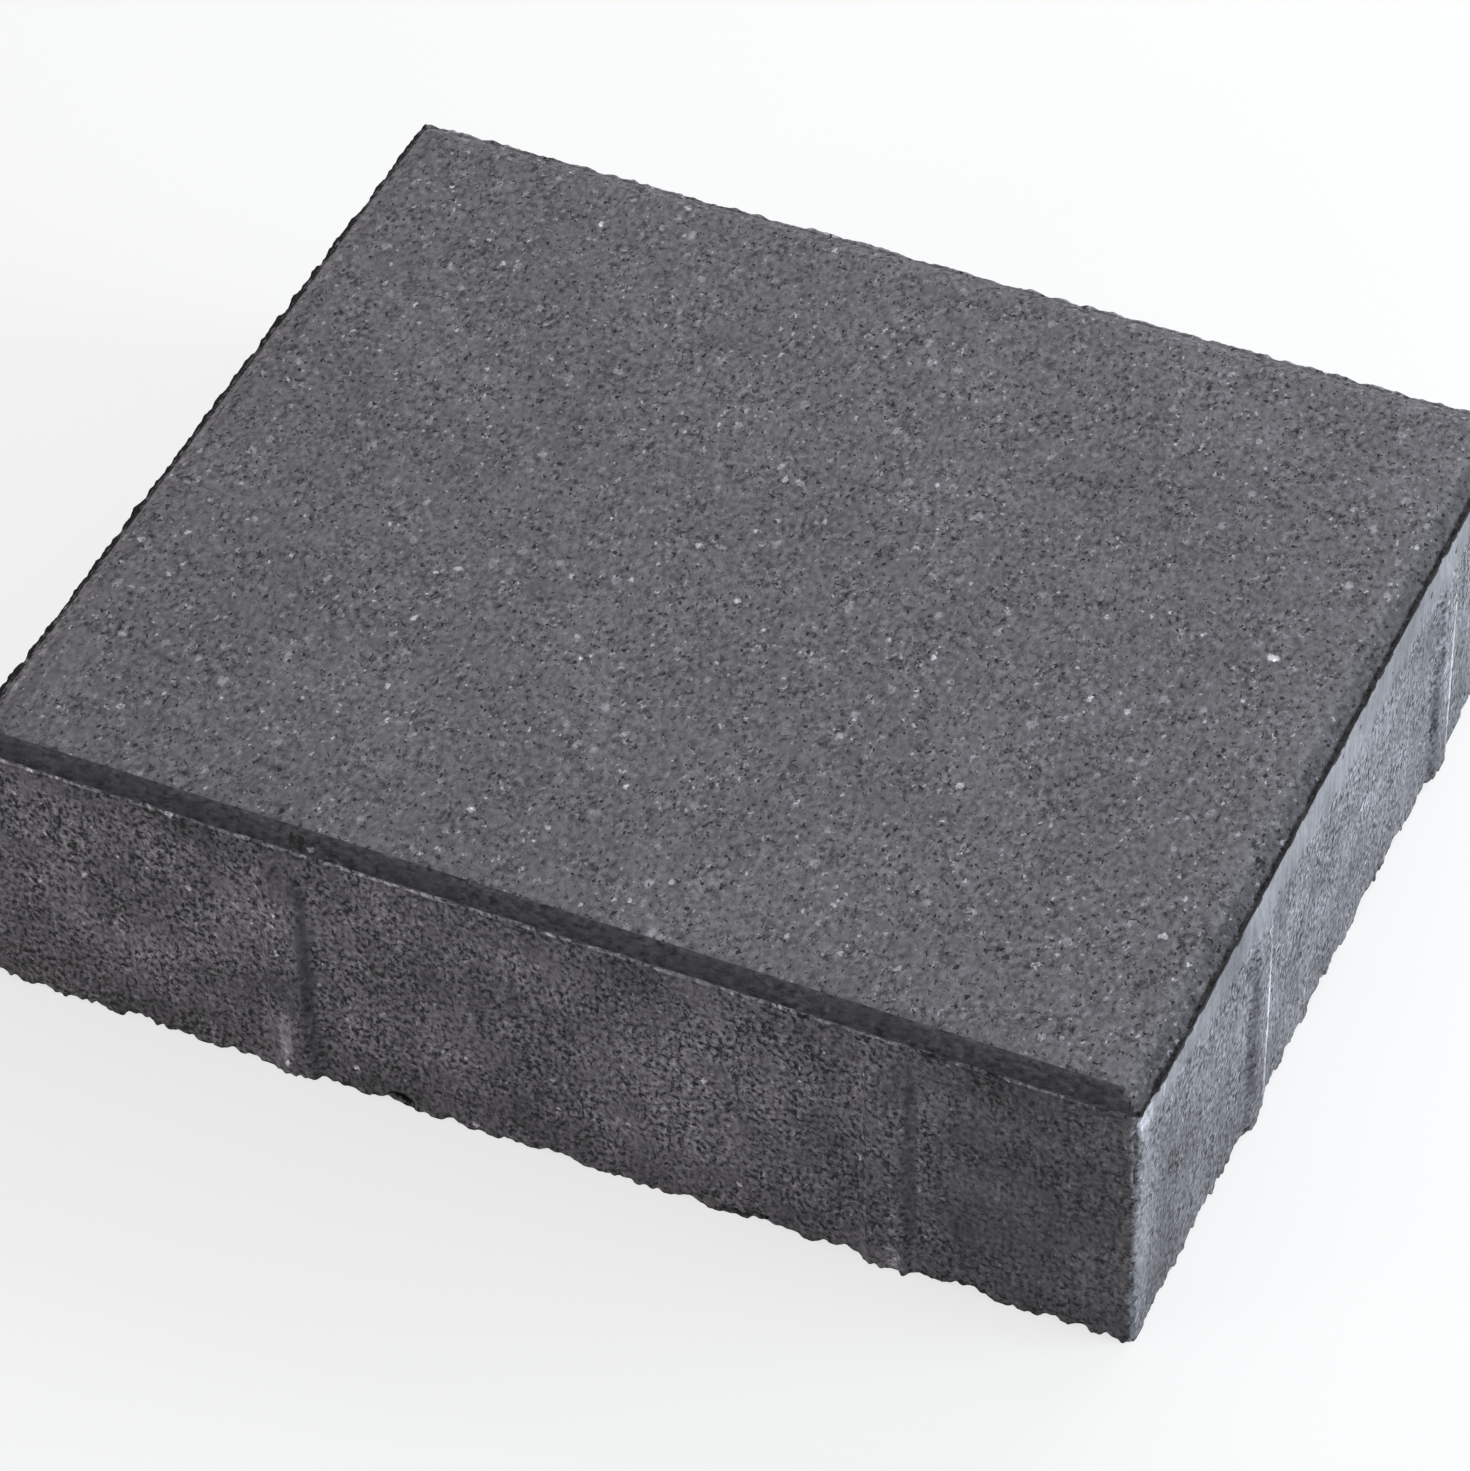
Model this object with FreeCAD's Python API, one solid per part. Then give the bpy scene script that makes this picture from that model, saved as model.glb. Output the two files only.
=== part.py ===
# Concrete paving slab: one cast piece, 80 mm thick, with chamfered top edges and
# two spacer nibs on each of its four sides.
# Millimetres. X runs along the slab's length, Y along its width and Z up.
# The origin is the centre of the underside.
import FreeCAD
import Part

import os

# Cast size of the slab without its nibs: a 300 x 250 mm grid less one 3 mm joint each way
slabLength = 297.0
slabWidth = 247.0
slabThickness = 80.0

# Chamfer round the wearing face, and the rounding of the four upright corners
chamferWidth = 6.0
chamferDepth = 2.5
cornerRadius = 3.0

# Spacer nib: an upright rib, sloped at the top and on both flanks
nibProud = 1.5
nibFaceWidth = 8.5
nibFlankRun = 2.4
nibBelowChamfer = 5.0
nibRampHeight = 10.0

# Nib centre lines, measured from the side's corners as it is seen from outside
longSideFromLeft = 83.0
longSideFromRight = 61.0
shortSideFromLeft = 76.0
shortSideFromRight = 45.0

# How far a nib's blank reaches into the slab, so that the two fuse
nibRoot = 6.0

up = FreeCAD.Vector(0, 0, 1)
chamferFoot = slabThickness - chamferDepth


def rectangleWire(length, width, height):
    x = length / 2
    y = width / 2
    corners = [(-x, -y), (x, -y), (x, y), (-x, y), (-x, -y)]
    return Part.makePolygon([FreeCAD.Vector(px, py, height) for px, py in corners])


def makeBlank():
    # The straight sides, then the chamfer as a shallow hipped step on top
    corner = FreeCAD.Vector(-slabLength / 2, -slabWidth / 2, 0)
    sides = Part.makeBox(slabLength, slabWidth, chamferFoot, corner)
    foot = rectangleWire(slabLength, slabWidth, chamferFoot)
    crown = rectangleWire(
        slabLength - 2 * chamferWidth, slabWidth - 2 * chamferWidth, slabThickness
    )
    chamfer = Part.makeLoft([foot, crown], True, True)
    return sides.fuse(chamfer).removeSplitter()


def roundCorners(blank):
    # Only what lies inside a box with rounded upright edges is kept
    corner = FreeCAD.Vector(-slabLength / 2, -slabWidth / 2, 0)
    envelope = Part.makeBox(slabLength, slabWidth, slabThickness, corner)
    uprights = [edge for edge in envelope.Edges if isUpright(edge)]
    return blank.common(envelope.makeFillet(cornerRadius, uprights))


def isUpright(edge):
    start, end = [vertex.Point for vertex in edge.Vertexes]
    return abs(end.z - start.z) > slabThickness / 2


def makeNib():
    # On a wall in the plane Y = 0 that faces -Y, with the nib's centre line at X = 0
    face = nibFaceWidth / 2
    foot = face + nibFlankRun
    rampTop = chamferFoot - nibBelowChamfer
    rampFoot = rampTop - nibRampHeight
    leftFlank = [(-foot, nibRoot), (-foot, 0), (-face, -nibProud)]
    rightFlank = [(face, -nibProud), (foot, 0), (foot, nibRoot)]
    plan = leftFlank + rightFlank
    profile = [(nibRoot, 0), (-nibProud, 0), (-nibProud, rampFoot), (0, rampTop), (nibRoot, rampTop)]
    planWire = Part.makePolygon([FreeCAD.Vector(x, y, 0) for x, y in plan + plan[:1]])
    profileWire = Part.makePolygon([FreeCAD.Vector(-foot, y, z) for y, z in profile + profile[:1]])
    rib = Part.Face(planWire).extrude(FreeCAD.Vector(0, 0, rampTop))
    ramp = Part.Face(profileWire).extrude(FreeCAD.Vector(2 * foot, 0, 0))
    return rib.common(ramp)


def nibsOnSide(sideLength, wallDistance, fromLeft, fromRight, turn):
    # Two nibs on a side, then the side turned about Z to where it belongs
    left = -sideLength / 2 + fromLeft
    right = sideLength / 2 - fromRight
    nibs = []
    for centre in (left, right):
        nib = makeNib()
        nib.translate(FreeCAD.Vector(centre, -wallDistance, 0))
        nib.rotate(FreeCAD.Vector(0, 0, 0), up, turn)
        nibs.append(nib)
    return nibs


def makeSlab():
    slab = roundCorners(makeBlank())
    nibs = []
    for turn in (0, 180):
        nibs += nibsOnSide(slabLength, slabWidth / 2, longSideFromLeft, longSideFromRight, turn)
        nibs += nibsOnSide(slabWidth, slabLength / 2, shortSideFromLeft, shortSideFromRight, turn + 90)
    return slab.fuse(nibs).removeSplitter()


slab = makeSlab()
solid = slab.Solids[0]
box = solid.BoundBox
os.makedirs("parts", exist_ok=True)
solid.exportStep("parts/paving_slab.step")
print("solids", len(slab.Solids), "valid", solid.isValid(), "faces", len(solid.Faces))
print("size", round(box.XLength, 3), round(box.YLength, 3), round(box.ZLength, 3), "mm")
print("volume", round(solid.Volume / 1000, 1), "cm3")
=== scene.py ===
import math

import bmesh
import bpy
from mathutils import Matrix, Vector, noise


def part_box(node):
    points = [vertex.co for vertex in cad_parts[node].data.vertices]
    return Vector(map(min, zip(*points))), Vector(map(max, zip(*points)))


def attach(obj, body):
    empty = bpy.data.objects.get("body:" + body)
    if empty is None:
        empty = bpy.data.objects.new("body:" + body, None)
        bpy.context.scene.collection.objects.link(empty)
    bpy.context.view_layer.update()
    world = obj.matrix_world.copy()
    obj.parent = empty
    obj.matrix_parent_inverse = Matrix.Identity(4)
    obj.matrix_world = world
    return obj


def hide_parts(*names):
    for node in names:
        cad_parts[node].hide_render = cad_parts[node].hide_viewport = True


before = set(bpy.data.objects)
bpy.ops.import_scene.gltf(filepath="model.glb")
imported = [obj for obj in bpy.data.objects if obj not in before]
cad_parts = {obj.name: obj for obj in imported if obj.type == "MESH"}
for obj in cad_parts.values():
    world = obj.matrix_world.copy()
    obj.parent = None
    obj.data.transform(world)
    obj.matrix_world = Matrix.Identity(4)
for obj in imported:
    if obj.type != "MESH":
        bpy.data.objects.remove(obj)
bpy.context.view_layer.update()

cadLow, cadHigh = (Vector(corner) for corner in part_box("paving_slab"))
mm = 0.001


# The slab: lengths in metres unless a note says otherwise
slabShape = {
    "chamferWidth": 6.0 * mm,
    "chamferDepth": 2.5 * mm,
    "cornerRadius": 3.0 * mm,

    "nibProud": 1.5 * mm,
    "nibFaceHalf": 4.25 * mm,
    "nibFlankRun": 2.4 * mm,
    "nibRampTop": 5.0 * mm,        # below the chamfer's foot
    "nibRampHeight": 10.0 * mm,
    # nibs' centre lines, from the left and the right corner of a side seen from outside
    "nibsLongSide": (83.0 * mm, 61.0 * mm),
    "nibsShortSide": (76.0 * mm, 45.0 * mm),

    "faceCell": 1.9 * mm,          # mesh spacing over the flat faces
    "wallCell": 1.55 * mm,         # and up the walls
    "chamferSteps": (0.0, 0.5, 1.0, 1.6, 2.5, 4.2, 6.0),   # mm in from the outer edge
    "rimSteps": (0.0, 0.6, 1.2, 2.0, 3.0),                 # mm below the chamfer's foot
    "footSteps": (0.0, 0.9, 1.9, 3.1, 4.5, 6.0),           # mm above the underside
    "rimBand": 2.1 * mm,           # finer mesh from here up
    "footFine": 2.0 * mm,          # and from here down
    "bedMargin": 7.0 * mm,         # coarser mesh under the slab, further in than this

    # relief: how deep, and how wide one bump is
    "wallWave": 0.25 * mm,
    "wallWaveSize": 38 * mm,
    "wallDrag": 0.16 * mm,
    "wallDragSize": 3.2 * mm,
    "dragStretch": 0.06,           # the mould draws these bumps out along the height
    "wallGrain": 0.12 * mm,
    "wallGrainSize": 2.6 * mm,
    "topWave": 0.12 * mm,
    "topWaveSize": 30 * mm,
    "topGrain": 0.09 * mm,
    "topGrainSize": 2.4 * mm,
    "bedGrain": 0.12 * mm,
    "bedGrainSize": 5 * mm,

    "burrRise": 0.9 * mm,
    "burrOut": 0.6 * mm,
    "lineDepth": 2.2 * mm,         # how far the line along the rim reaches down the wall
    "groove": 0.8 * mm,
    "grooveInside": 0.9 * mm,      # its middle, in from the outer edge
    "grooveHalf": 1.3 * mm,
    # for each side: how marked the groove is, how dark it is from dirt and painted shadow, and the
    # chamfer's tone, which paints the light and shade that side gets
    "grooveShare": {"front": 0.55, "right": 1.0, "back": 0.25, "left": 0.9},
    "grooveDirtAndShade": {"front": 0.8, "right": 0.6, "back": 0.6, "left": 0.9},
    "chamferLightAndShade": {"front": 0.85, "right": 0.5, "back": 0.95, "left": 1.45},

    "ragged": 2.6 * mm,            # how far the foot's edge is torn up from the bed
    "footBand": 6.0 * mm,          # how far that reaches up the wall and in under the slab

    # how uneven the torn foot and the burr are: the usual level, then bumps (mm, weight)
    "tornFoot": {"level": 0.34, "bumps": ((14.0, 0.7), (4.5, 0.6), (1.9, 0.5)), "offset": 11.0},
    "burr": {"level": 0.42, "bumps": ((22.0, 0.35), (4.0, 0.55), (1.4, 0.35)), "offset": 21.0},
}

# Marks on the walls: the middle (mm from the side's left corner as seen from outside, and
# mm up from the bed), half the width and height, the tone against the wall about it, and
# how calm the grain is there. The back and the left side repeat them by half a turn.
wallMarks = {
    "front": {
        # painted shade: the first nib's right flank, turned away from the fill lamp, is darkened
        "nibRightFlankShadeA": {"at": (88.3, 37), "half": (1.9, 36), "tone": 0.55, "calm": 0.8},
        "nibTopA": {"at": (83.5, 65), "half": (5.0, 6.5), "tone": 0.74, "calm": 0.8},
        "nibScuff": {"at": (81.6, 12), "half": (1.6, 12), "tone": 2.8, "calm": 0.0},
        "nibPolish": {"at": (79.5, 12), "half": (5.0, 9), "tone": 1.18, "calm": 0.6},
        "nibStain": {"at": (80.0, 31), "half": (4.5, 4), "tone": 0.70, "calm": 0.4},
        # painted shade: the second nib's right flank is darkened the same way
        "nibRightFlankShadeB": {"at": (241.8, 37), "half": (2.0, 33), "tone": 0.68, "calm": 0.7},
        "nibTopB": {"at": (240.0, 65), "half": (5.5, 6.5), "tone": 0.74, "calm": 0.6},
        "paleCloudA": {"at": (48, 50), "half": (34, 34), "tone": 1.12, "calm": 0.0},
        "paleCloudB": {"at": (125, 52), "half": (30, 36), "tone": 1.18, "calm": 0.0},
        "paleCloudC": {"at": (190, 48), "half": (34, 34), "tone": 1.10, "calm": 0.0},
        # painted shade: the front wall darker towards its right end, away from the fill lamp
        "shadedEnd": {"at": (285, 40), "half": (42, 60), "tone": 0.74, "calm": 0.35},
        # painted shade: a darker band just under the rim, the shadow of the burr
        "shadeUnderRim": {"at": (150, 75), "half": (160, 9), "tone": 0.84, "calm": 0.2},
        "darkFoot": {"at": (150, 3), "half": (160, 16), "tone": 0.82, "calm": 0.1},
        "dragA": {"at": (26.5, 32), "half": (1.0, 10), "tone": 1.35, "calm": 0.0},
        "dragB": {"at": (46.5, 9), "half": (0.7, 8), "tone": 1.35, "calm": 0.0},
        "upright": {"at": (253.2, 20), "half": (0.6, 3.5), "tone": 0.35, "calm": 0.0},
    },
    "right": {
        "cornerSheen": {"at": (5.0, 38), "half": (5.5, 56), "tone": 1.32, "calm": 0.7},
        "cornerShade": {"at": (20, 34), "half": (7, 34), "tone": 0.84, "calm": 0.0},
        "fineFace": {"at": (120, 40), "half": (400, 400), "tone": 1.0, "calm": 0.36},
        # the smoother face mix at the top, painted paler as well: painted light of the side lamp, which
        # falls off downwards
        "smoothLitBand": {"at": (130, 78), "half": (170, 17), "tone": 1.16, "calm": 1.0},
        # painted shade: the right wall darker low down and at its near end, with the side lamp's
        # falloff
        "nearFalloffShade": {"at": (40, 16), "half": (62, 34), "tone": 0.80, "calm": 0.0},
        "footFalloffShade": {"at": (130, 0), "half": (140, 26), "tone": 0.86, "calm": 0.0},
        "paleSmear": {"at": (58, 59), "half": (4, 4), "tone": 1.25, "calm": 0.6},
        # painted shade: the first nib's near flank, turned to the front away from the side lamp, is
        # darkened
        "nibNearFlankShadeA": {"at": (71.8, 34), "half": (2.8, 26), "tone": 0.58, "calm": 0.0},
        # painted highlight: a bright line along the first nib face's far edge
        "nibEdgeHighlightA": {"at": (79.4, 31), "half": (1.6, 34), "tone": 1.3, "calm": 1.0},
        # painted shade: the second nib's near flank is darkened the same way
        "nibNearFlankShadeB": {"at": (197.5, 32), "half": (2.8, 26), "tone": 0.68, "calm": 0.0},
        # painted highlight: a bright line along the second nib face's far edge
        "nibEdgeHighlightB": {"at": (205.4, 29), "half": (1.6, 32), "tone": 1.25, "calm": 1.0},
        "stainA": {"at": (159, 41), "half": (5, 5), "tone": 0.80, "calm": 0.0},
        "stainB": {"at": (145, 29), "half": (3, 4), "tone": 0.72, "calm": 0.0},
        "stainC": {"at": (101, 24), "half": (6, 10), "tone": 0.84, "calm": 0.0},
    },
}
markedLike = {"front": "front", "back": "front", "right": "right", "left": "right"}

# Broken spots, placed as the marks are: how wide and high, how deep, and how pale
chips = {
    "front": {
        "nibChip": {"at": (237.5, 3.0), "half": (2.6, 7.0), "depth": 1.3, "tone": 1.0},
        "footHole": {"at": (110.5, 1.5), "half": (4.0, 2.6), "depth": 2.2, "tone": -0.9},
        "footBite": {"at": (200.0, 1.0), "half": (7.0, 3.0), "depth": 1.8, "tone": 0.1},
        "cornerBite": {"at": (296.0, 70.0), "half": (1.6, 6.0), "depth": 0.7, "tone": 0.45},
        "cornerWear": {"at": (296.5, 58.0), "half": (1.3, 4.0), "depth": 0.6, "tone": 0.4},
    },
    "right": {
        "cornerChip": {"at": (4.5, 74.5), "half": (7.5, 4.0), "depth": 0.7, "tone": 0.4},
    },
}

halfX = (cadHigh.x - cadLow.x) / 2 - slabShape["nibProud"]
halfY = (cadHigh.y - cadLow.y) / 2 - slabShape["nibProud"]
height = cadHigh.z
chamferFoot = height - slabShape["chamferDepth"]
touch = 0.01 * mm    # places closer than this lie on the same face


def evenly(start, end, cell):
    # Places from start to end, both included, at most one cell apart
    count = max(1, math.ceil((end - start) / cell))
    return [start + (end - start) * k / count for k in range(count + 1)]


def planLines(half):
    edge = [half - step * mm for step in slabShape["chamferSteps"]]
    middle = evenly(-edge[-1], edge[-1], slabShape["faceCell"])
    return [-place for place in edge[:-1]] + middle + edge[:-1][::-1]


def wallLines():
    foot = [step * mm for step in slabShape["footSteps"]]
    rim = [chamferFoot - step * mm for step in slabShape["rimSteps"]]
    return foot[:-1] + evenly(foot[-1], rim[-1], slabShape["wallCell"]) + rim[:-1][::-1]


def slabLattice():
    # A unit cube cut into a lattice, whose lines then move to their real places
    lines = (planLines(halfX), planLines(halfY), wallLines())
    mesh = bmesh.new()
    bmesh.ops.create_cube(mesh, size=1.0)
    for axis in range(3):
        along = [edge for edge in mesh.edges if isAlong(edge, axis)]
        bmesh.ops.subdivide_edges(mesh, edges=along, cuts=len(lines[axis]) - 2, use_grid_fill=True)
    for vert in mesh.verts:
        for axis in range(3):
            last = len(lines[axis]) - 1
            vert.co[axis] = lines[axis][round((vert.co[axis] + 0.5) * last)]
    return mesh


def isAlong(edge, axis):
    run = edge.verts[1].co - edge.verts[0].co
    return abs(run[axis]) > 0.99 * run.length


def refineBand(mesh, inBand, cuts):
    # Shorter spacing along the outline, where the edges are torn and fine
    edges = [edge for edge in mesh.edges if runsAlongOutline(edge) and inBand(edge)]
    bmesh.ops.subdivide_edges(mesh, edges=edges, cuts=cuts, use_grid_fill=True)


def runsAlongOutline(edge):
    first, second = (vert.co for vert in edge.verts)
    onLong = isAlong(edge, 0) and halfY - abs(first.y) < halfX - abs(first.x) + 1 * mm
    onShort = isAlong(edge, 1) and halfX - abs(first.x) < halfY - abs(first.y) + 1 * mm
    return (onLong or onShort) and depthInside(first) < 1.2 * mm


def depthInside(place):
    return min(halfX - abs(place.x), halfY - abs(place.y))


def sideOf(place):
    # The side that a place belongs to: how far along it the place is (from the middle, seen
    # from outside), half the side's length, where its nibs are, and the way out
    if halfY - abs(place.y) < halfX - abs(place.x):
        turn = -1 if place.y < 0 else 1
        return -turn * place.x, halfX, slabShape["nibsLongSide"], Vector((0, turn, 0))
    turn = 1 if place.x > 0 else -1
    return turn * place.y, halfY, slabShape["nibsShortSide"], Vector((turn, 0, 0))


def sideName(place):
    if halfY - abs(place.y) < halfX - abs(place.x):
        return "front" if place.y < 0 else "back"
    return "right" if place.x > 0 else "left"


def nibCentres(half, fromCorners):
    return (-half + fromCorners[0], half - fromCorners[1])


def nibRise(along, half, fromCorners, up):
    ramp = (chamferFoot - slabShape["nibRampTop"] - up) / slabShape["nibRampHeight"]
    rise = 0.0
    for centre in nibCentres(half, fromCorners):
        flank = slabShape["nibFaceHalf"] + slabShape["nibFlankRun"] - abs(along - centre)
        flank /= slabShape["nibFlankRun"]
        rise = max(rise, min(1.0, max(0.0, flank)) * min(1.0, max(0.0, ramp)))
    return rise


def nearNib(edge):
    middle = (edge.verts[0].co + edge.verts[1].co) / 2
    along, half, fromCorners, outward = sideOf(middle)
    reach = slabShape["nibFaceHalf"] + slabShape["nibFlankRun"] + 2 * mm
    return any(abs(along - centre) < reach for centre in nibCentres(half, fromCorners))


def roundedOutline(place):
    # The square rings of each corner become arcs about the corner's centre
    radius = slabShape["cornerRadius"]
    right = (abs(place.x) - (halfX - radius)) / radius
    back = (abs(place.y) - (halfY - radius)) / radius
    if right <= 0 or back <= 0:
        return place.copy(), None
    shrink = max(right, back) / math.hypot(right, back)
    signX = math.copysign(1, place.x)
    signY = math.copysign(1, place.y)
    outward = Vector((signX * right, signY * back, 0)).normalized()
    moved = Vector((signX * (halfX - radius + radius * right * shrink),
                    signY * (halfY - radius + radius * back * shrink), place.z))
    return moved, outward


def wander(place, size, offset=0.0):
    # Smooth noise about -1 to 1, with bumps of the given size in metres
    return noise.noise(place / size + Vector((offset, 1.7 * offset, 0.3 * offset)))


def layered(place, size, layers, offset=0.0):
    return noise.fractal(place / size + Vector((offset, offset, offset)), 0.8, 2.1, layers)


def shapeSlab(mesh):
    tone = mesh.verts.layers.float.new("edgeTone")
    wash = mesh.verts.layers.float.new("faceTone")
    calm = mesh.verts.layers.float.new("calm")
    shape = slabShape
    for vert in mesh.verts:
        place = vert.co.copy()
        inside = depthInside(place)
        onTop = place.z > chamferFoot - touch
        onBed = place.z < touch
        side = sideName(place)
        along, half, fromCorners, outward = sideOf(place)
        moved, cornerOut = roundedOutline(place)
        outward = cornerOut or outward
        shade = 0.0
        vert[wash] = 1.0

        # Torn foot: the wall's lowest band and the bed's rim rise together
        torn = uneven(place, shape["tornFoot"]) * shape["ragged"]
        lift = max(0.0, 1.0 - max(place.z, inside if onBed else 0.0) / shape["footBand"])

        if inside < touch:
            # Walls, with the nibs, the drag of the mould and the sand in the mix
            moved += outward * shape["nibProud"] * nibRise(along, half, fromCorners, place.z)
            dragPlace = Vector((place.x, place.y, place.z * shape["dragStretch"]))
            out = shape["wallWave"] * (wander(place, shape["wallWaveSize"]) - 0.6)
            out += shape["wallDrag"] * wander(dragPlace, shape["wallDragSize"], 4.0)
            out += shape["wallGrain"] * layered(place, shape["wallGrainSize"], 3, 8.0)
            out -= 0.45 * torn * lift ** 2
            moved += outward * min(out, 0.0)
            moved.z += torn * lift
            corner = (half + along) / mm
            vert[wash], vert[calm] = markAt(markedLike[side], corner, place.z / mm, place)
            for chip in chips.get(side, {}).values():
                inChip = ovalShare(chip, corner, place.z / mm)
                inChip *= 0.75 + 0.5 * wander(place, 2.2 * mm, 31.0)
                moved -= outward * chip["depth"] * mm * min(1.0, 2 * inChip)
                shade += chip["tone"] * min(1.0, 2.5 * inChip)
            below = chamferFoot - place.z
            if below < shape["lineDepth"]:
                shade = edgeShade(place, below / mm)
        if onBed and inside > touch:
            moved.z += torn * lift ** 0.7
            moved.z += shape["bedGrain"] * (1 + layered(place, shape["bedGrainSize"], 3, 3.0))
        if onTop:
            slope = min(1.0, inside / shape["chamferWidth"])
            moved.z += shape["chamferDepth"] * slope
            if inside < touch:
                # The burr that the stamp squeezes up round the chamfer's foot
                burr = uneven(place, shape["burr"])
                moved.z += shape["burrRise"] * (burr + 0.8 * wander(place, 5 * mm, 25.0))
                moved += outward * shape["burrOut"] * (burr - 0.35)
                shade = edgeShade(place, 0.0)
            else:
                ditch = max(0.0, 1.0 - abs(inside - shape["grooveInside"]) / shape["grooveHalf"])
                ditch *= shape["grooveShare"][side] * (0.85 + 0.3 * wander(place, 4 * mm, 2.0))
                moved.z -= shape["groove"] * ditch
                # the groove darkened: dirt, and the burr's painted shadow
                shade = -ditch * shape["grooveDirtAndShade"][side]
                # painted light and shade: each side's chamfer lighter or darker by how the lamps reach
                # it
                vert[wash] = 1.0 + (shape["chamferLightAndShade"][side] - 1.0) * (1.0 - slope ** 6)
                flat = min(1.0, slope * 1.2)
                wave = wander(place, shape["topWaveSize"], 5.0)
                sand = layered(place, shape["topGrainSize"], 2, 6.0)
                moved.z -= flat * shape["topWave"] * (0.5 + 0.5 * wave)
                moved.z -= flat * shape["topGrain"] * (0.6 + 0.6 * sand)
        vert.co = moved
        vert[tone] = shade
    for vert in mesh.verts:
        vert.co.z = min(max(vert.co.z, 0.0), height)


def ovalShare(patch, corner, up):
    # 1 in the middle of a patch, falling to 0 at its oval edge
    across = (corner - patch["at"][0]) / patch["half"][0]
    rise = (up - patch["at"][1]) / patch["half"][1]
    return max(0.0, 1.0 - across * across - rise * rise)


def markAt(side, corner, up, place):
    # Tone and calm of the wall, from the marks that reach this place
    tone = 1.0
    calm = 0.0
    worn = 0.8 + 0.5 * wander(place, 3 * mm, 41.0)
    for mark in wallMarks[side].values():
        share = min(1.0, 2.0 * ovalShare(mark, corner, up))
        if mark["half"][0] < 7:    # the small marks have worn edges
            share = min(1.0, share * worn)
        tone *= 1.0 + (mark["tone"] - 1.0) * share
        calm = max(calm, mark["calm"] * share)
    return tone, calm


def uneven(place, kind):
    # Smooth bumps of several sizes about a level, kept within 0 to 1: for the foot, 0 is
    # whole and 1 is broken away; for the burr, 1 is the tallest
    level = kind["level"]
    for step, (size, weight) in enumerate(kind["bumps"]):
        level += weight * wander(place, size * mm, kind["offset"] + step)
    return min(1.0, max(0.0, level))


def edgeShade(place, below):
    # Front and back: a pale crumbling burr with its own shadow under it.
    # Ends: a black line under the stamp's edge, partly dirt and partly the burr's painted shadow.
    # Depths are in mm.
    if sideName(place) in ("front", "back"):
        burr = uneven(place, slabShape["burr"])
        lipDepth = 0.55 + 0.5 * burr
        if below < lipDepth:
            return -0.15 + 1.8 * burr
        underLip = -0.45
        return underLip * (slabShape["lineDepth"] / mm - below) / 1.3
    lineWidth = 1.1 + 0.7 * wander(place, 3.5 * mm, 24.0)
    return -1.5 if below < lineWidth else 0.0


def makeSlab():
    mesh = slabLattice()
    print("lattice", len(mesh.faces), "faces")
    rimFrom = chamferFoot - slabShape["rimBand"]
    footTo = slabShape["footFine"]
    bed = [vert for vert in mesh.verts
           if vert.co.z < touch and depthInside(vert.co) > slabShape["bedMargin"]]
    bmesh.ops.unsubdivide(mesh, verts=bed, iterations=2)
    print("coarser bed", len(mesh.faces), "faces")
    refineBand(mesh, lambda edge: edge.verts[0].co.z > rimFrom, 2)
    refineBand(mesh, lambda edge: edge.verts[0].co.z < footTo, 2)
    refineBand(mesh, lambda edge: footTo < edge.verts[0].co.z < rimFrom and nearNib(edge), 1)
    print("refined edges", len(mesh.faces), "faces")
    shapeSlab(mesh)
    sortFaces(mesh)
    bmesh.ops.triangulate(mesh, faces=[face for face in mesh.faces if len(face.verts) > 4])
    data = bpy.data.meshes.new("castSlab")
    mesh.to_mesh(data)
    mesh.free()
    piece = bpy.data.objects.new("castSlab", data)
    bpy.context.scene.collection.objects.link(piece)
    for polygon in data.polygons:
        polygon.use_smooth = True
    return piece


faceKinds = ("wearingFace", "shadedSmearedChamfer", "wall", "bed")


def sortFaces(mesh):
    mesh.normal_update()
    for face in mesh.faces:
        middle = face.calc_center_median()
        inside = depthInside(middle)
        # The top's faces start a little below the chamfer's foot, and they look upwards
        upper = middle.z > chamferFoot - 0.8 * mm and inside > 0.1 * mm and face.normal.z > 0.3
        # The front chamfer gets a darker material of its own, partly painted shade
        if upper and inside < slabShape["chamferWidth"] and sideName(middle) == "front":
            kind = "shadedSmearedChamfer"
        elif upper:
            kind = "wearingFace"
        elif face.normal.z < -0.7:
            kind = "bed"
        else:
            kind = "wall"
        face.material_index = faceKinds.index(kind)


def linearColour(code):
    # sRGB hex to the linear values that the sockets hold
    linear = []
    for k in (1, 3, 5):
        part = int(code[k:k + 2], 16) / 255
        linear.append(part / 12.92 if part <= 0.04045 else ((part + 0.055) / 1.055) ** 2.4)
    return linear + [1.0]


def addNode(tree, kind, inputs, output=0, **settings):
    # Settings are the node's own; an input is given a value, or linked to a socket
    made = tree.nodes.new("ShaderNode" + kind)
    for name, value in settings.items():
        setattr(made, name, value)
    for name, value in inputs.items():
        if isinstance(value, bpy.types.NodeSocket):
            tree.links.new(value, made.inputs[name])
        else:
            made.inputs[name].default_value = value
    return made.outputs[output] if made.outputs else made
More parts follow.
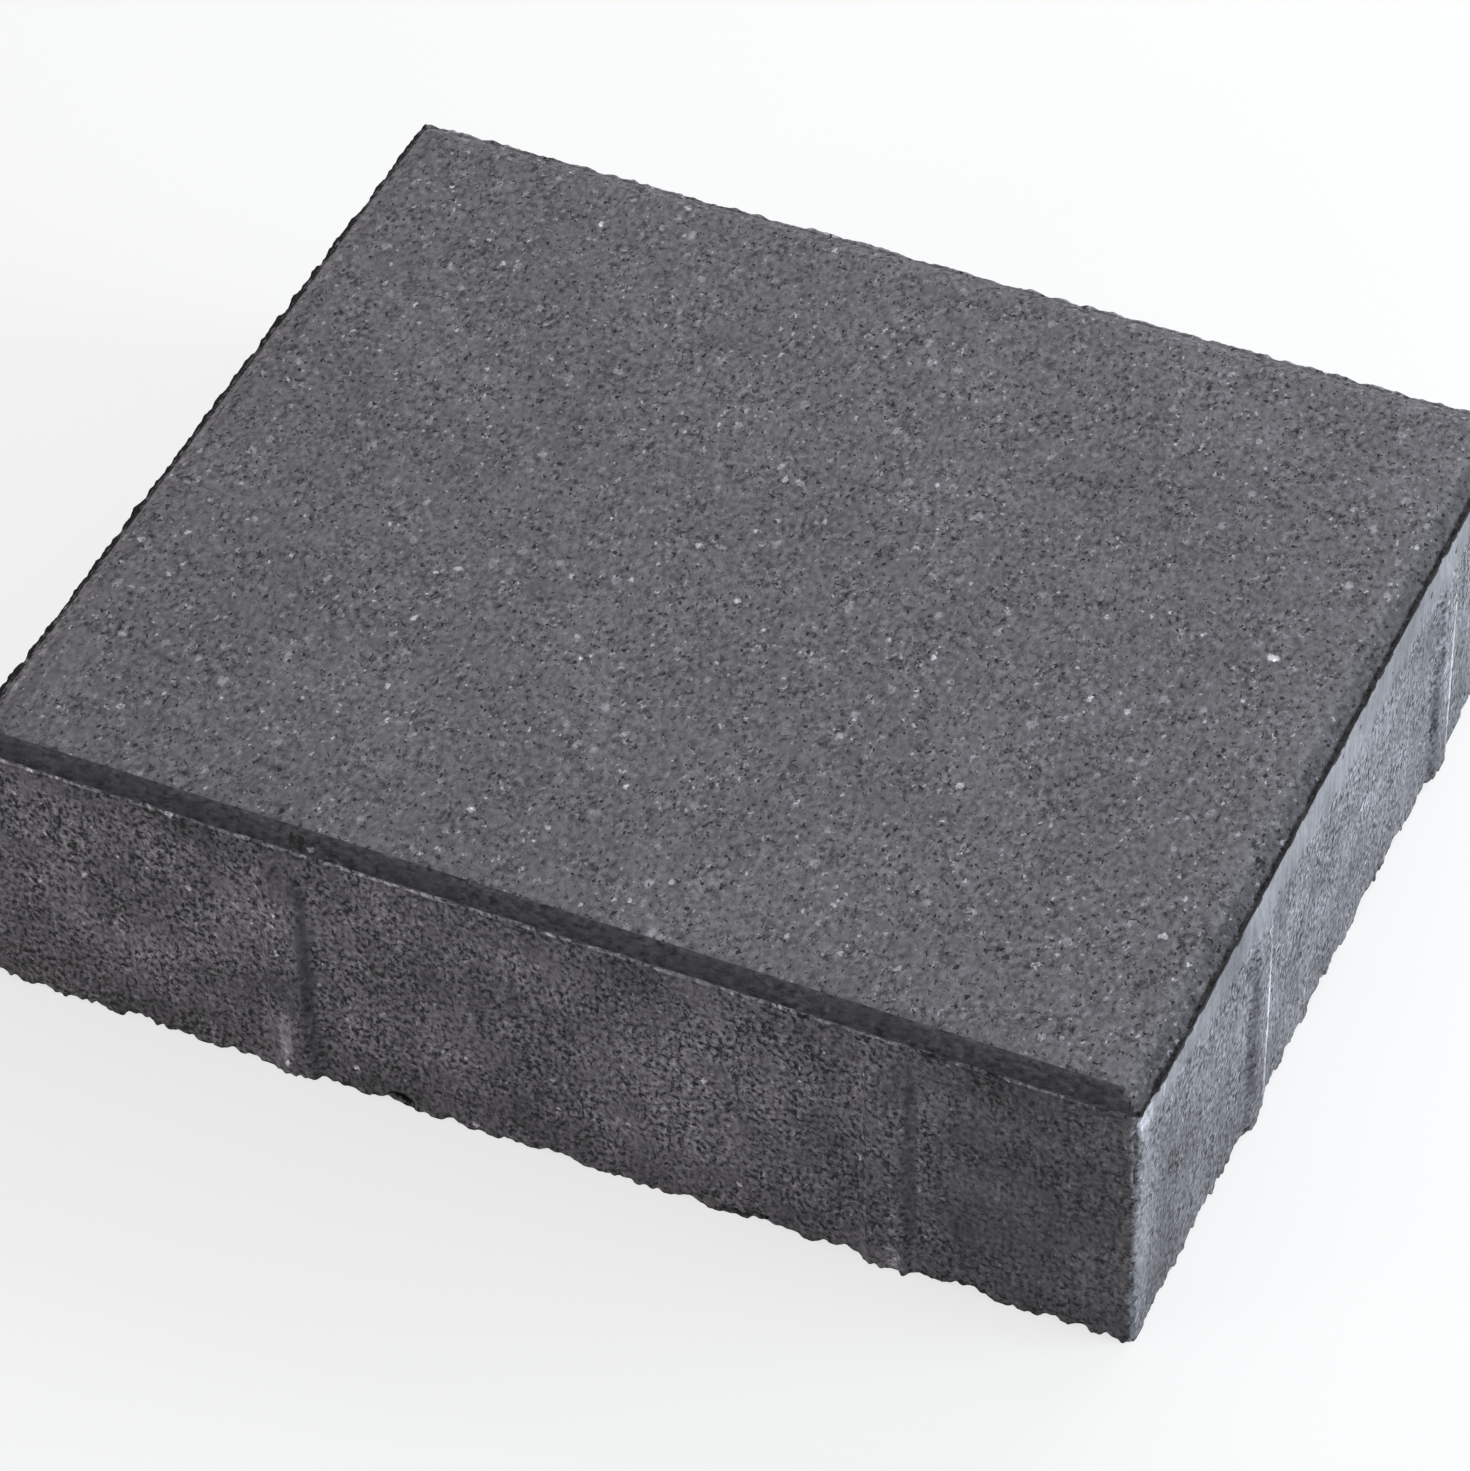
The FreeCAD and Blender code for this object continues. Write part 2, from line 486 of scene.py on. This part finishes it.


# Vibro-pressed anthracite concrete. Sizes are in mm: one grain of the mix, one grain of
# sand, one cloud of tone and one dark speck. The finest sand is drawn about a millimetre wide,
# since the real grit is too fine to show.
skins = {
    # Pressed by the stamp: matt and sandy, with pale grains and dark specks, partly pores and partly
    # painted shadows of the grains
    "wearingFace": {
        "base": "#6d6b6f", "stretch": (1.0, 0.74, 1.0), "rough": 0.9, "bump": 0.7,
        "grain": 0.34, "grainSize": 1.5, "sand": 0.15, "sandSize": 0.85, "cloud": 0.06, "cloudSize": 42,
        "darkSpecks": 0.88, "speckShare": 0.32, "speckSize": 1.35,
        "cracks": 0.6, "lightGrains": 1.75, "drag": 0.0,
    },
    # The front chamfer, smeared by the stamp's edge: closed and a little smoother, and darker, partly
    # from the pressing and partly as painted shade, since it faces away from the lamps
    "shadedSmearedChamfer": {
        "base": "#444245", "stretch": (0.6, 1.0, 1.0), "rough": 0.82, "bump": 0.4,
        "grain": 0.55, "grainSize": 1.3, "sand": 0.14, "sandSize": 0.8, "cloud": 0.10, "cloudSize": 20,
        "darkSpecks": 0.6, "speckShare": 0.22, "speckSize": 1.2,
        "cracks": 0.0, "lightGrains": 0.8, "drag": 0.0,
    },
    # Dragged past the mould: coarse open grain with upright streaks and cloudy patches
    "wall": {
        "base": "#7c7a7f", "stretch": (1.0, 1.0, 0.85), "rough": 0.88, "bump": 0.6,
        "grain": 0.72, "grainSize": 1.3, "sand": 0.24, "sandSize": 0.9, "cloud": 0.20, "cloudSize": 22,
        "darkSpecks": 0.9, "speckShare": 0.44, "speckSize": 1.3,
        "cracks": 0.25, "lightGrains": 1.5, "drag": 0.11,
    },
    # Lay on its board: the roughest, with wide pores
    "bed": {
        "base": "#626265", "stretch": (1.0, 1.0, 1.0), "rough": 0.93, "bump": 0.9,
        "grain": 0.6, "grainSize": 2.2, "sand": 0.2, "sandSize": 1.6, "cloud": 0.14, "cloudSize": 30,
        "darkSpecks": 0.8, "speckShare": 0.4, "speckSize": 2.4,
        "cracks": 0.3, "lightGrains": 0.9, "drag": 0.0,
    },
}

# Noises that all the skins share: how wide one bump is, in mm
noiseSize = {
    "tornEdge": 1.1,
    "patches": 9.0,                # the sand lies denser in some
    "streaks": 1.7,                # across the drag of the mould
    "hairCracks": 5.0,
    "crumbs": 1.6,                 # dust on the burr, dirt in the groove
}

# Scattered spots that all the skins share: one cell and a spot's radius in mm, and how many
# cells hold a spot. The shift (in metres) keeps the kinds apart.
scattered = {
    "openPores": {"cell": 6.0, "share": 0.34, "radius": 0.72, "shift": 0.77},
    "fineSand": {"cell": 1.5, "share": 0.34, "radius": 0.40, "shift": 0.52},
    "paleSand": {"cell": 3.4, "share": 0.42, "radius": 0.58, "shift": 0.91},
    "dullGravel": {"cell": 5.0, "share": 0.6, "radius": 1.15, "shift": 0.37},
    "paleGravel": {"cell": 10.0, "share": 0.45, "radius": 0.9, "shift": 0.13},
}

# Single grains that stand out: the middle (mm), half length and half width, turn and tone
strayGrains = {
    "wearingFace": {
        "sliverA": {"at": (-8.9, 38.5, 80), "half": (2.5, 1.0), "turn": 60, "tone": 1.2},
        "sliverB": {"at": (-2.9, 34.1, 80), "half": (2.2, 1.1), "turn": -42, "tone": 1.0},
        "honeyGrain": {"at": (-15.9, 4.1, 80), "half": (1.6, 1.1), "turn": -20, "tone": 1.9},
        "honeyPair": {"at": (-11.2, 5.9, 80), "half": (1.3, 0.9), "turn": 10, "tone": 1.1},
        "whiteGrain": {"at": (123.9, 22.1, 80), "half": (1.7, 1.3), "turn": 0, "tone": 2.6},
        "dentGrain": {"at": (110.0, -91.0, 80), "half": (1.5, 1.0), "turn": 30, "tone": 1.7},
        "dentPit": {"at": (98.4, -91.2, 80), "half": (1.1, 0.7), "turn": 15, "tone": -0.85},
        "dentPitB": {"at": (101.0, -89.8, 80), "half": (1.3, 0.6), "turn": 40, "tone": -0.85},
        "dentPitC": {"at": (102.8, -91.6, 80), "half": (0.9, 0.8), "turn": 0, "tone": -0.8},
        "dentPitD": {"at": (82.0, -62.5, 80), "half": (1.2, 0.7), "turn": 60, "tone": -0.7},
        "chipFrontA": {"at": (-27.9, -97.1, 80), "half": (1.1, 0.8), "turn": 40, "tone": 1.4},
        "chipFrontB": {"at": (-59.5, -76.1, 80), "half": (1.2, 0.8), "turn": 0, "tone": 1.5},
        "chipFrontC": {"at": (-5.5, -60.5, 80), "half": (1.1, 0.9), "turn": 70, "tone": 1.2},
        "chipLeftA": {"at": (-65.9, -25.5, 80), "half": (1.3, 0.8), "turn": 20, "tone": 1.3},
        "chipLeftB": {"at": (-118.5, -98.5, 80), "half": (1.3, 1.0), "turn": 0, "tone": 1.4},
        "chipMid": {"at": (57.5, -15.1, 80), "half": (1.1, 0.8), "turn": 35, "tone": 1.3},
        "chipBackA": {"at": (-84.5, 114.5, 80), "half": (1.3, 0.9), "turn": 0, "tone": 1.6},
        "chipBackB": {"at": (79.0, 111.5, 80), "half": (1.2, 0.9), "turn": 50, "tone": 1.5},
    },
    "wall": {
        "rimSpeck": {"at": (-93.0, -123.5, 77), "half": (1.0, 1.4), "turn": 0, "tone": 3.5},
        "wallSpeckA": {"at": (-49.0, -123.5, 7.6), "half": (0.9, 1.4), "turn": 0, "tone": 2.0},
        "wallSpeckB": {"at": (4.0, -123.5, 17), "half": (1.0, 1.3), "turn": 0, "tone": 2.0},
        # painted highlights: bright lines down the far edges of the right wall's nib faces
        "nibHighlightLineA": {"at": (150, -43.8, 30), "half": (0.9, 31), "turn": 0, "tone": 1.3},
        "nibHighlightLineB": {"at": (150, 82.2, 29), "half": (0.9, 31), "turn": 0, "tone": 1.0},
        "nibFleck": {"at": (149, -44.5, 62), "half": (1.6, 1.6), "turn": 0, "tone": 1.0},
        "cornerDash": {"at": (148.5, -109, 73), "half": (0.8, 2.6), "turn": 0, "tone": 0.7},
    },
    "shadedSmearedChamfer": {
        "scratchA": {"at": (-62.5, -120.5, 79), "half": (2.2, 0.75), "turn": 118, "tone": -0.85},
        "scratchB": {"at": (-60.0, -121.0, 79), "half": (2.4, 0.75), "turn": 112, "tone": -0.85},
        "scratchChip": {"at": (-57.0, -121.4, 79), "half": (1.1, 0.7), "turn": 0, "tone": 4.0},
    },
}


def perMetre(sizeInMm):
    return 1000.0 / sizeInMm


def swing(tree, pattern, amount):
    # A factor about 1 that follows a noise, with the amount as its usual reach
    return addNode(tree, "MapRange", {
        "Value": pattern, "From Min": 0.25, "From Max": 0.75,
        "To Min": 1 - 2 * amount, "To Max": 1 + 2 * amount})


def shifted(tree, coords, shift):
    # Another part of the same noise
    away = (shift, shift * 0.7, shift * 0.4)
    return addNode(tree, "VectorMath", {0: coords, 1: away}, operation="ADD")


def specks(tree, coords, size, share, shift):
    # Small uneven specks where a fine noise peaks; a larger share lets more of it show
    fine = addNode(tree, "TexNoise", {
        "Vector": shifted(tree, coords, shift), "Scale": perMetre(size),
        "Detail": 1.0, "Roughness": 0.5})
    edge = 0.78 - 0.45 * share
    return addNode(tree, "MapRange", {"Value": fine, "From Min": edge, "From Max": edge + 0.07})


def spots(tree, coords, kind):
    # 1 inside a spot, 0 outside. Each spot has a size of its own.
    cell, radius = kind["cell"], kind["radius"]
    chance = addNode(tree, "TexVoronoi", {
        "Vector": shifted(tree, coords, kind["shift"]), "Scale": perMetre(cell),
        "Randomness": 1.0}, "Color")
    distance = chance.node.outputs["Distance"]
    parts = addNode(tree, "SeparateColor", {"Color": chance}).node.outputs
    chosen = addNode(tree, "Math", {0: parts[0], 1: kind["share"]}, operation="LESS_THAN")
    size = addNode(tree, "MapRange", {
        "Value": parts[1], "To Min": radius * 0.45 / cell, "To Max": radius * 1.25 / cell})
    inner = addNode(tree, "Math", {0: size, 1: 0.7}, operation="MULTIPLY")
    mask = addNode(tree, "MapRange", {"Value": distance, "From Min": size, "From Max": inner})
    return addNode(tree, "Math", {0: mask, 1: chosen}, operation="MULTIPLY")


def strayGrain(tree, coords, kind, grain):
    # One grain with a torn edge: its tone inside, 0 outside. It also reaches in through the
    # face by a few mm, so that the relief doesn't cut it off.
    centre = Vector(grain["at"]) * mm
    length, width = (size * mm for size in grain["half"])
    onEnd = abs(centre.x) > halfX - 10 * mm
    reach = (length, width, 2 * mm)
    if kind == "wall":
        reach = (3 * mm, length, width) if onEnd else (length, 3 * mm, width)
    local = addNode(tree, "Mapping", {
        "Vector": coords, "Location": centre, "Scale": reach,
        "Rotation": (0, 0, math.radians(grain["turn"])),
    }, vector_type="TEXTURE")
    away = addNode(tree, "VectorMath", {0: local}, "Value", operation="LENGTH")
    return addNode(tree, "MapRange", {
        "Value": away, "From Min": 0.75, "From Max": 1.0, "To Min": grain["tone"], "To Max": 0.0})


def concreteSkin(name, look):
    material = bpy.data.materials.new("pressedConcrete_" + name)
    material.use_nodes = True
    tree = material.node_tree
    tree.nodes.clear()
    coords = addNode(tree, "TexCoord", {}, "Object")
    # Each skin's grain is drawn out along one way. On the wearing face it is drawn along the slab's
    # short way, which shapes its dark specks, partly painted shadows of the grains
    drawn = addNode(tree, "Mapping", {"Vector": coords, "Scale": look["stretch"]})

    # Uneven edges for the spots, so that no grain is a clean disc
    jitter = addNode(tree, "TexNoise", {
        "Vector": drawn, "Scale": perMetre(noiseSize["tornEdge"]),
        "Detail": 2.0, "Roughness": 0.6}, "Color")
    jitterReach = Vector((2.2, 2.2, 2.2)) * mm
    jittered = {0: jitter, 1: jitterReach}
    shift = addNode(tree, "VectorMath", {**jittered, 2: drawn}, operation="MULTIPLY_ADD")
    tornPlace = addNode(tree, "VectorMath", {**jittered, 2: coords}, operation="MULTIPLY_ADD")
    tornPlace = addNode(tree, "VectorMath", {0: tornPlace, 1: jitterReach / 2}, operation="SUBTRACT")

    grain = addNode(tree, "TexNoise", {
        "Vector": drawn, "Scale": perMetre(look["grainSize"]), "Detail": 2.0, "Roughness": 0.55})
    patches = addNode(tree, "TexNoise", {
        "Vector": coords, "Scale": perMetre(noiseSize["patches"]), "Detail": 3.0, "Roughness": 0.6})
    cloud = addNode(tree, "TexNoise", {
        "Vector": coords, "Scale": perMetre(look["cloudSize"]), "Detail": 4.0, "Roughness": 0.55})
    # The sand lies denser in some patches, so the grain is stronger there
    calm = addNode(tree, "Attribute", {}, "Fac", attribute_name="calm")
    patchy = addNode(tree, "MapRange", {
        "Value": patches, "From Min": 0.3, "From Max": 0.7, "To Min": 0.45, "To Max": 1.45})
    eased = addNode(tree, "MapRange", {"Value": calm, "To Min": 1.0, "To Max": 0.1})
    patchy = addNode(tree, "Math", {0: patchy, 1: eased}, operation="MULTIPLY")
    # Every grain of sand has a tone of its own
    grainTone = addNode(tree, "MapRange", {
        "Value": grain, "From Min": 0.2, "From Max": 0.8,
        "To Min": -2.0 * look["grain"], "To Max": 2.0 * look["grain"]})
    sand = addNode(tree, "TexVoronoi", {
        "Vector": shift, "Scale": perMetre(look["sandSize"]), "Randomness": 1.0}, "Color")
    sandTone = addNode(tree, "MapRange", {
        "Value": addNode(tree, "SeparateColor", {"Color": sand}),
        "To Min": -1.5 * look["sand"], "To Max": 1.5 * look["sand"]})
    centred = addNode(tree, "Math", {0: grainTone, 1: sandTone}, operation="ADD")
    centred = addNode(tree, "Math", {0: centred, 1: patchy}, operation="MULTIPLY")
    tint = addNode(tree, "Math", {0: centred, 1: 1.0}, operation="ADD")
    factors = [swing(tree, cloud, look["cloud"])]
    if look["drag"]:
        # Upright streaks that the mould's wall drags down the fresh mix
        stretched = addNode(tree, "Mapping", {"Vector": coords, "Scale": (1.0, 1.0, 0.12)})
        streak = addNode(tree, "TexNoise", {
            "Vector": stretched, "Scale": perMetre(noiseSize["streaks"]),
            "Detail": 3.0, "Roughness": 0.6})
        factors.append(swing(tree, streak, look["drag"]))

    # Dark specks: pores, and on the wearing face also painted shadows of the grains
    fineDarkSpecks = specks(tree, drawn, look["speckSize"], look["speckShare"], 0.31)
    darkSpecks = addNode(tree, "Math", {0: fineDarkSpecks, 1: patchy}, operation="MULTIPLY")
    darkSpecks = addNode(tree, "Math", {0: darkSpecks, 1: 1.0}, operation="MINIMUM")
    openPores = spots(tree, shift, scattered["openPores"])
    darkSpecks = addNode(tree, "Math", {0: darkSpecks, 1: openPores}, operation="MAXIMUM")
    # Hair cracks: thin dark lines where a broad noise crosses its middle, here and there
    vein = addNode(tree, "TexNoise", {
        "Vector": shift, "Scale": perMetre(noiseSize["hairCracks"]), "Detail": 1.0, "Roughness": 0.5})
    offMiddle = addNode(tree, "Math", {0: vein, 1: 0.5}, operation="SUBTRACT")
    offMiddle = addNode(tree, "Math", {0: offMiddle}, operation="ABSOLUTE")
    crack = addNode(tree, "MapRange", {
        "Value": offMiddle, "From Min": 0.006, "From Max": 0.022,
        "To Min": look["cracks"], "To Max": 0.0})
    cracked = addNode(tree, "MapRange", {"Value": patches, "From Min": 0.47, "From Max": 0.56})
    crack = addNode(tree, "Math", {0: crack, 1: cracked}, operation="MULTIPLY")
    darkSpecks = addNode(tree, "Math", {0: darkSpecks, 1: crack}, operation="MAXIMUM")
    factors.append(addNode(tree, "MapRange", {
        "Value": darkSpecks, "To Min": 1.0, "To Max": 1 - look["darkSpecks"]}))

    # Grains of pale sand: many small ones, fewer of a millimetre, a stray chip now and then
    denser = addNode(tree, "MapRange", {
        "Value": patches, "From Min": 0.35, "From Max": 0.65, "To Min": 0.25, "To Max": 1.0})
    rubbed = addNode(tree, "MapRange", {"Value": calm, "To Min": 1.0, "To Max": 0.0})
    fineSand = spots(tree, shift, scattered["fineSand"])
    paleSand = spots(tree, shift, scattered["paleSand"])
    dullGravel = spots(tree, shift, scattered["dullGravel"])
    paleGravel = spots(tree, shift, scattered["paleGravel"])
    dullGravel = addNode(tree, "Math", {0: dullGravel, 1: 0.3}, operation="MULTIPLY")
    lights = fineSand
    for operation, value in (("MULTIPLY", denser), ("MAXIMUM", paleSand), ("MULTIPLY", 0.75),
                             ("MAXIMUM", dullGravel), ("MAXIMUM", paleGravel), ("MULTIPLY", rubbed)):
        lights = addNode(tree, "Math", {0: lights, 1: value}, operation=operation)
    factors.append(addNode(tree, "MapRange", {
        "Value": lights, "To Min": 1.0, "To Max": 1 + 1.5 * look["lightGrains"]}))
    for factor in factors:
        tint = addNode(tree, "Math", {0: tint, 1: factor}, operation="MULTIPLY")
    tint = addNode(tree, "Math", {0: tint, 1: 0.12}, operation="MAXIMUM")

    wash = addNode(tree, "Attribute", {}, "Fac", attribute_name="faceTone")
    factors = [wash]
    for stray in strayGrains.get(name, {}).values():
        single = strayGrain(tree, tornPlace, name, stray)
        factors.append(addNode(tree, "Math", {0: single, 1: 1.0}, operation="ADD"))

    # Dust caught on the burr and broken edges; dirt and painted shadow in the groove, under the front
    # burr and along the ends' black line
    edge = addNode(tree, "Attribute", {}, "Fac", attribute_name="edgeTone")
    crumbs = addNode(tree, "TexNoise", {
        "Vector": shift, "Scale": perMetre(noiseSize["crumbs"]), "Detail": 2.0, "Roughness": 0.6})
    crumbling = addNode(tree, "MapRange", {
        "Value": crumbs, "From Min": 0.3, "From Max": 0.7, "To Min": -0.25, "To Max": 0.25})
    dirtAndShade = addNode(tree, "Math", {0: edge, 1: crumbling}, operation="ADD")
    factors.append(addNode(tree, "MapRange", {
        "Value": dirtAndShade, "From Min": -0.6, "From Max": -0.25, "To Min": 0.05, "To Max": 1.0}))
    dusty = addNode(tree, "MapRange", {"Value": edge})
    crumbled = addNode(tree, "MapRange", {
        "Value": crumbs, "From Min": 0.40, "From Max": 0.60, "To Min": 0.25, "To Max": 1.0})
    dust = addNode(tree, "Math", {0: dusty, 1: crumbled}, operation="MULTIPLY")
    factors.append(addNode(tree, "MapRange", {"Value": dust, "To Min": 1.0, "To Max": 3.5}))
    for factor in factors:
        tint = addNode(tree, "Math", {0: tint, 1: factor}, operation="MULTIPLY")
    plain = linearColour(look["base"])[:3]
    base = addNode(tree, "VectorMath", {0: plain, "Scale": tint}, operation="SCALE")

    # The relief takes only the fine noises, which keeps the render quick
    relief = addNode(tree, "Math", {0: grain, 1: fineDarkSpecks}, operation="SUBTRACT")
    worn = addNode(tree, "MapRange", {"Value": calm, "To Min": 1.0, "To Max": 0.2})
    relief = addNode(tree, "Math", {0: relief, 1: worn}, operation="MULTIPLY")
    bump = addNode(tree, "Bump", {"Strength": look["bump"], "Distance": 0.35 * mm, "Height": relief})
    shader = addNode(tree, "BsdfPrincipled", {
        "Base Color": base, "Roughness": look["rough"], "Normal": bump,
        "IOR": 1.5, "Specular IOR Level": 0.3})
    addNode(tree, "OutputMaterial", {"Surface": shader})
    return material


slab = makeSlab()
for kind in faceKinds:
    slab.data.materials.append(concreteSkin(kind, skins[kind]))
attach(slab, "root")
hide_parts("paving_slab")
print("slab", len(slab.data.polygons), "faces")


# Studio: a pale floor that keeps the slab's shadow, soft panels and a plain world
studio = {
    "floorSize": 8.0,
    "floorSeen": "#ffffff",        # as the camera sees it
    "floorGlow": 0.72,             # share of plain white in it, so that the shadow stays pale
    "floorBounce": "#a8a8a8",      # what it gives back to the slab
    "world": 0.25,
    "panels": {
        "backPanel": {"at": (0.15, 1.6, 1.15), "size": (1.6, 1.0), "watts": 18.0, "colour": "#ffffff"},
        "sidePanel": {"at": (1.5, 0.35, 0.50), "size": (1.0, 0.6), "watts": 27.5, "colour": "#eaf8ff"},
        "topPanel": {"at": (-0.2, -0.2, 2.2), "size": (1.6, 1.6), "watts": 4.0, "colour": "#ffffff"},
        "leftFill": {"at": (-1.3, -1.5, 0.5), "size": (0.8, 0.8), "watts": 7.0, "colour": "#fff6f0"},
    },
}


def seenDirectly(tree):
    # 1 for what the camera sees, straight on, by reflection or through something clear
    rays = addNode(tree, "LightPath", {}).node.outputs
    seen = rays["Is Camera Ray"]
    for kind in ("Is Glossy Ray", "Is Transmission Ray"):
        seen = addNode(tree, "Math", {0: seen, 1: rays[kind]}, operation="MAXIMUM")
    return seen


def makeFloor():
    mesh = bmesh.new()
    bmesh.ops.create_grid(mesh, x_segments=1, y_segments=1, size=studio["floorSize"] / 2)
    data = bpy.data.meshes.new("studioFloor")
    mesh.to_mesh(data)
    mesh.free()
    floor = bpy.data.objects.new("studioFloor", data)
    bpy.context.scene.collection.objects.link(floor)
    material = bpy.data.materials.new("paleFloor")
    material.use_nodes = True
    tree = material.node_tree
    tree.nodes.clear()
    seen = seenDirectly(tree)
    bounce = linearColour(studio["floorBounce"])
    straight = linearColour(studio["floorSeen"])
    colour = addNode(tree, "Mix", {0: seen, 6: bounce, 7: straight}, 2, data_type="RGBA")
    matt = addNode(tree, "BsdfDiffuse", {"Color": colour})
    glow = addNode(tree, "Emission", {"Color": (1, 1, 1, 1), "Strength": 1.0})
    share = addNode(tree, "Math", {0: seen, 1: studio["floorGlow"]}, operation="MULTIPLY")
    pale = addNode(tree, "MixShader", {0: share, 1: matt, 2: glow})
    addNode(tree, "OutputMaterial", {"Surface": pale})
    data.materials.append(material)


def makePanel(name, panel, target):
    lamp = bpy.data.lights.new(name, "AREA")
    lamp.shape = "RECTANGLE"
    lamp.size, lamp.size_y = panel["size"]
    lamp.energy = panel["watts"]
    lamp.color = linearColour(panel["colour"])[:3]
    holder = bpy.data.objects.new(name, lamp)
    place = Vector(panel["at"])
    facing = (target - place).to_track_quat("-Z", "Y").to_matrix().to_4x4()
    holder.matrix_world = Matrix.Translation(place) @ facing
    bpy.context.scene.collection.objects.link(holder)


def makeWorld():
    world = bpy.data.worlds.new("studioWorld")
    bpy.context.scene.world = world
    world.use_nodes = True
    tree = world.node_tree
    tree.nodes.clear()
    strength = addNode(tree, "MapRange", {
        "Value": seenDirectly(tree), "To Min": studio["world"], "To Max": 1.0})
    sky = addNode(tree, "Background", {"Color": (1, 1, 1, 1), "Strength": strength})
    addNode(tree, "OutputWorld", {"Surface": sky})


# The camera stands to the front right and looks down at the slab with a long lens
cameraView = {
    "aim": (18.14 * mm, -51.18 * mm, 80.0 * mm),   # a place on the wearing face
    "distance": 1.4956,            # metres from there
    "heading": 25.324,             # degrees round from the front, to the right
    "tilt": 44.969,                # degrees down from level
    "roll": -1.597,
    "lens": 157.2,                 # mm, on a sensor 36 mm wide
}


def makeCamera():
    data = bpy.data.cameras.new("camera")
    data.sensor_width = 36.0
    data.lens = cameraView["lens"]
    data.clip_start = 0.05
    holder = bpy.data.objects.new("camera", data)
    turn = Matrix.Rotation(math.radians(cameraView["heading"]), 4, "Z")
    turn = turn @ Matrix.Rotation(math.radians(90 - cameraView["tilt"]), 4, "X")
    turn = turn @ Matrix.Rotation(math.radians(cameraView["roll"]), 4, "Z")
    back = turn.to_3x3() @ Vector((0, 0, cameraView["distance"]))
    holder.matrix_world = Matrix.Translation(Vector(cameraView["aim"]) + back) @ turn
    bpy.context.scene.collection.objects.link(holder)
    bpy.context.scene.camera = holder


makeFloor()
for name, panel in studio["panels"].items():
    makePanel(name, panel, Vector((0, 0, height / 2)))
makeWorld()
makeCamera()
bpy.context.scene.view_settings.view_transform = "Standard"
print("studio and camera")
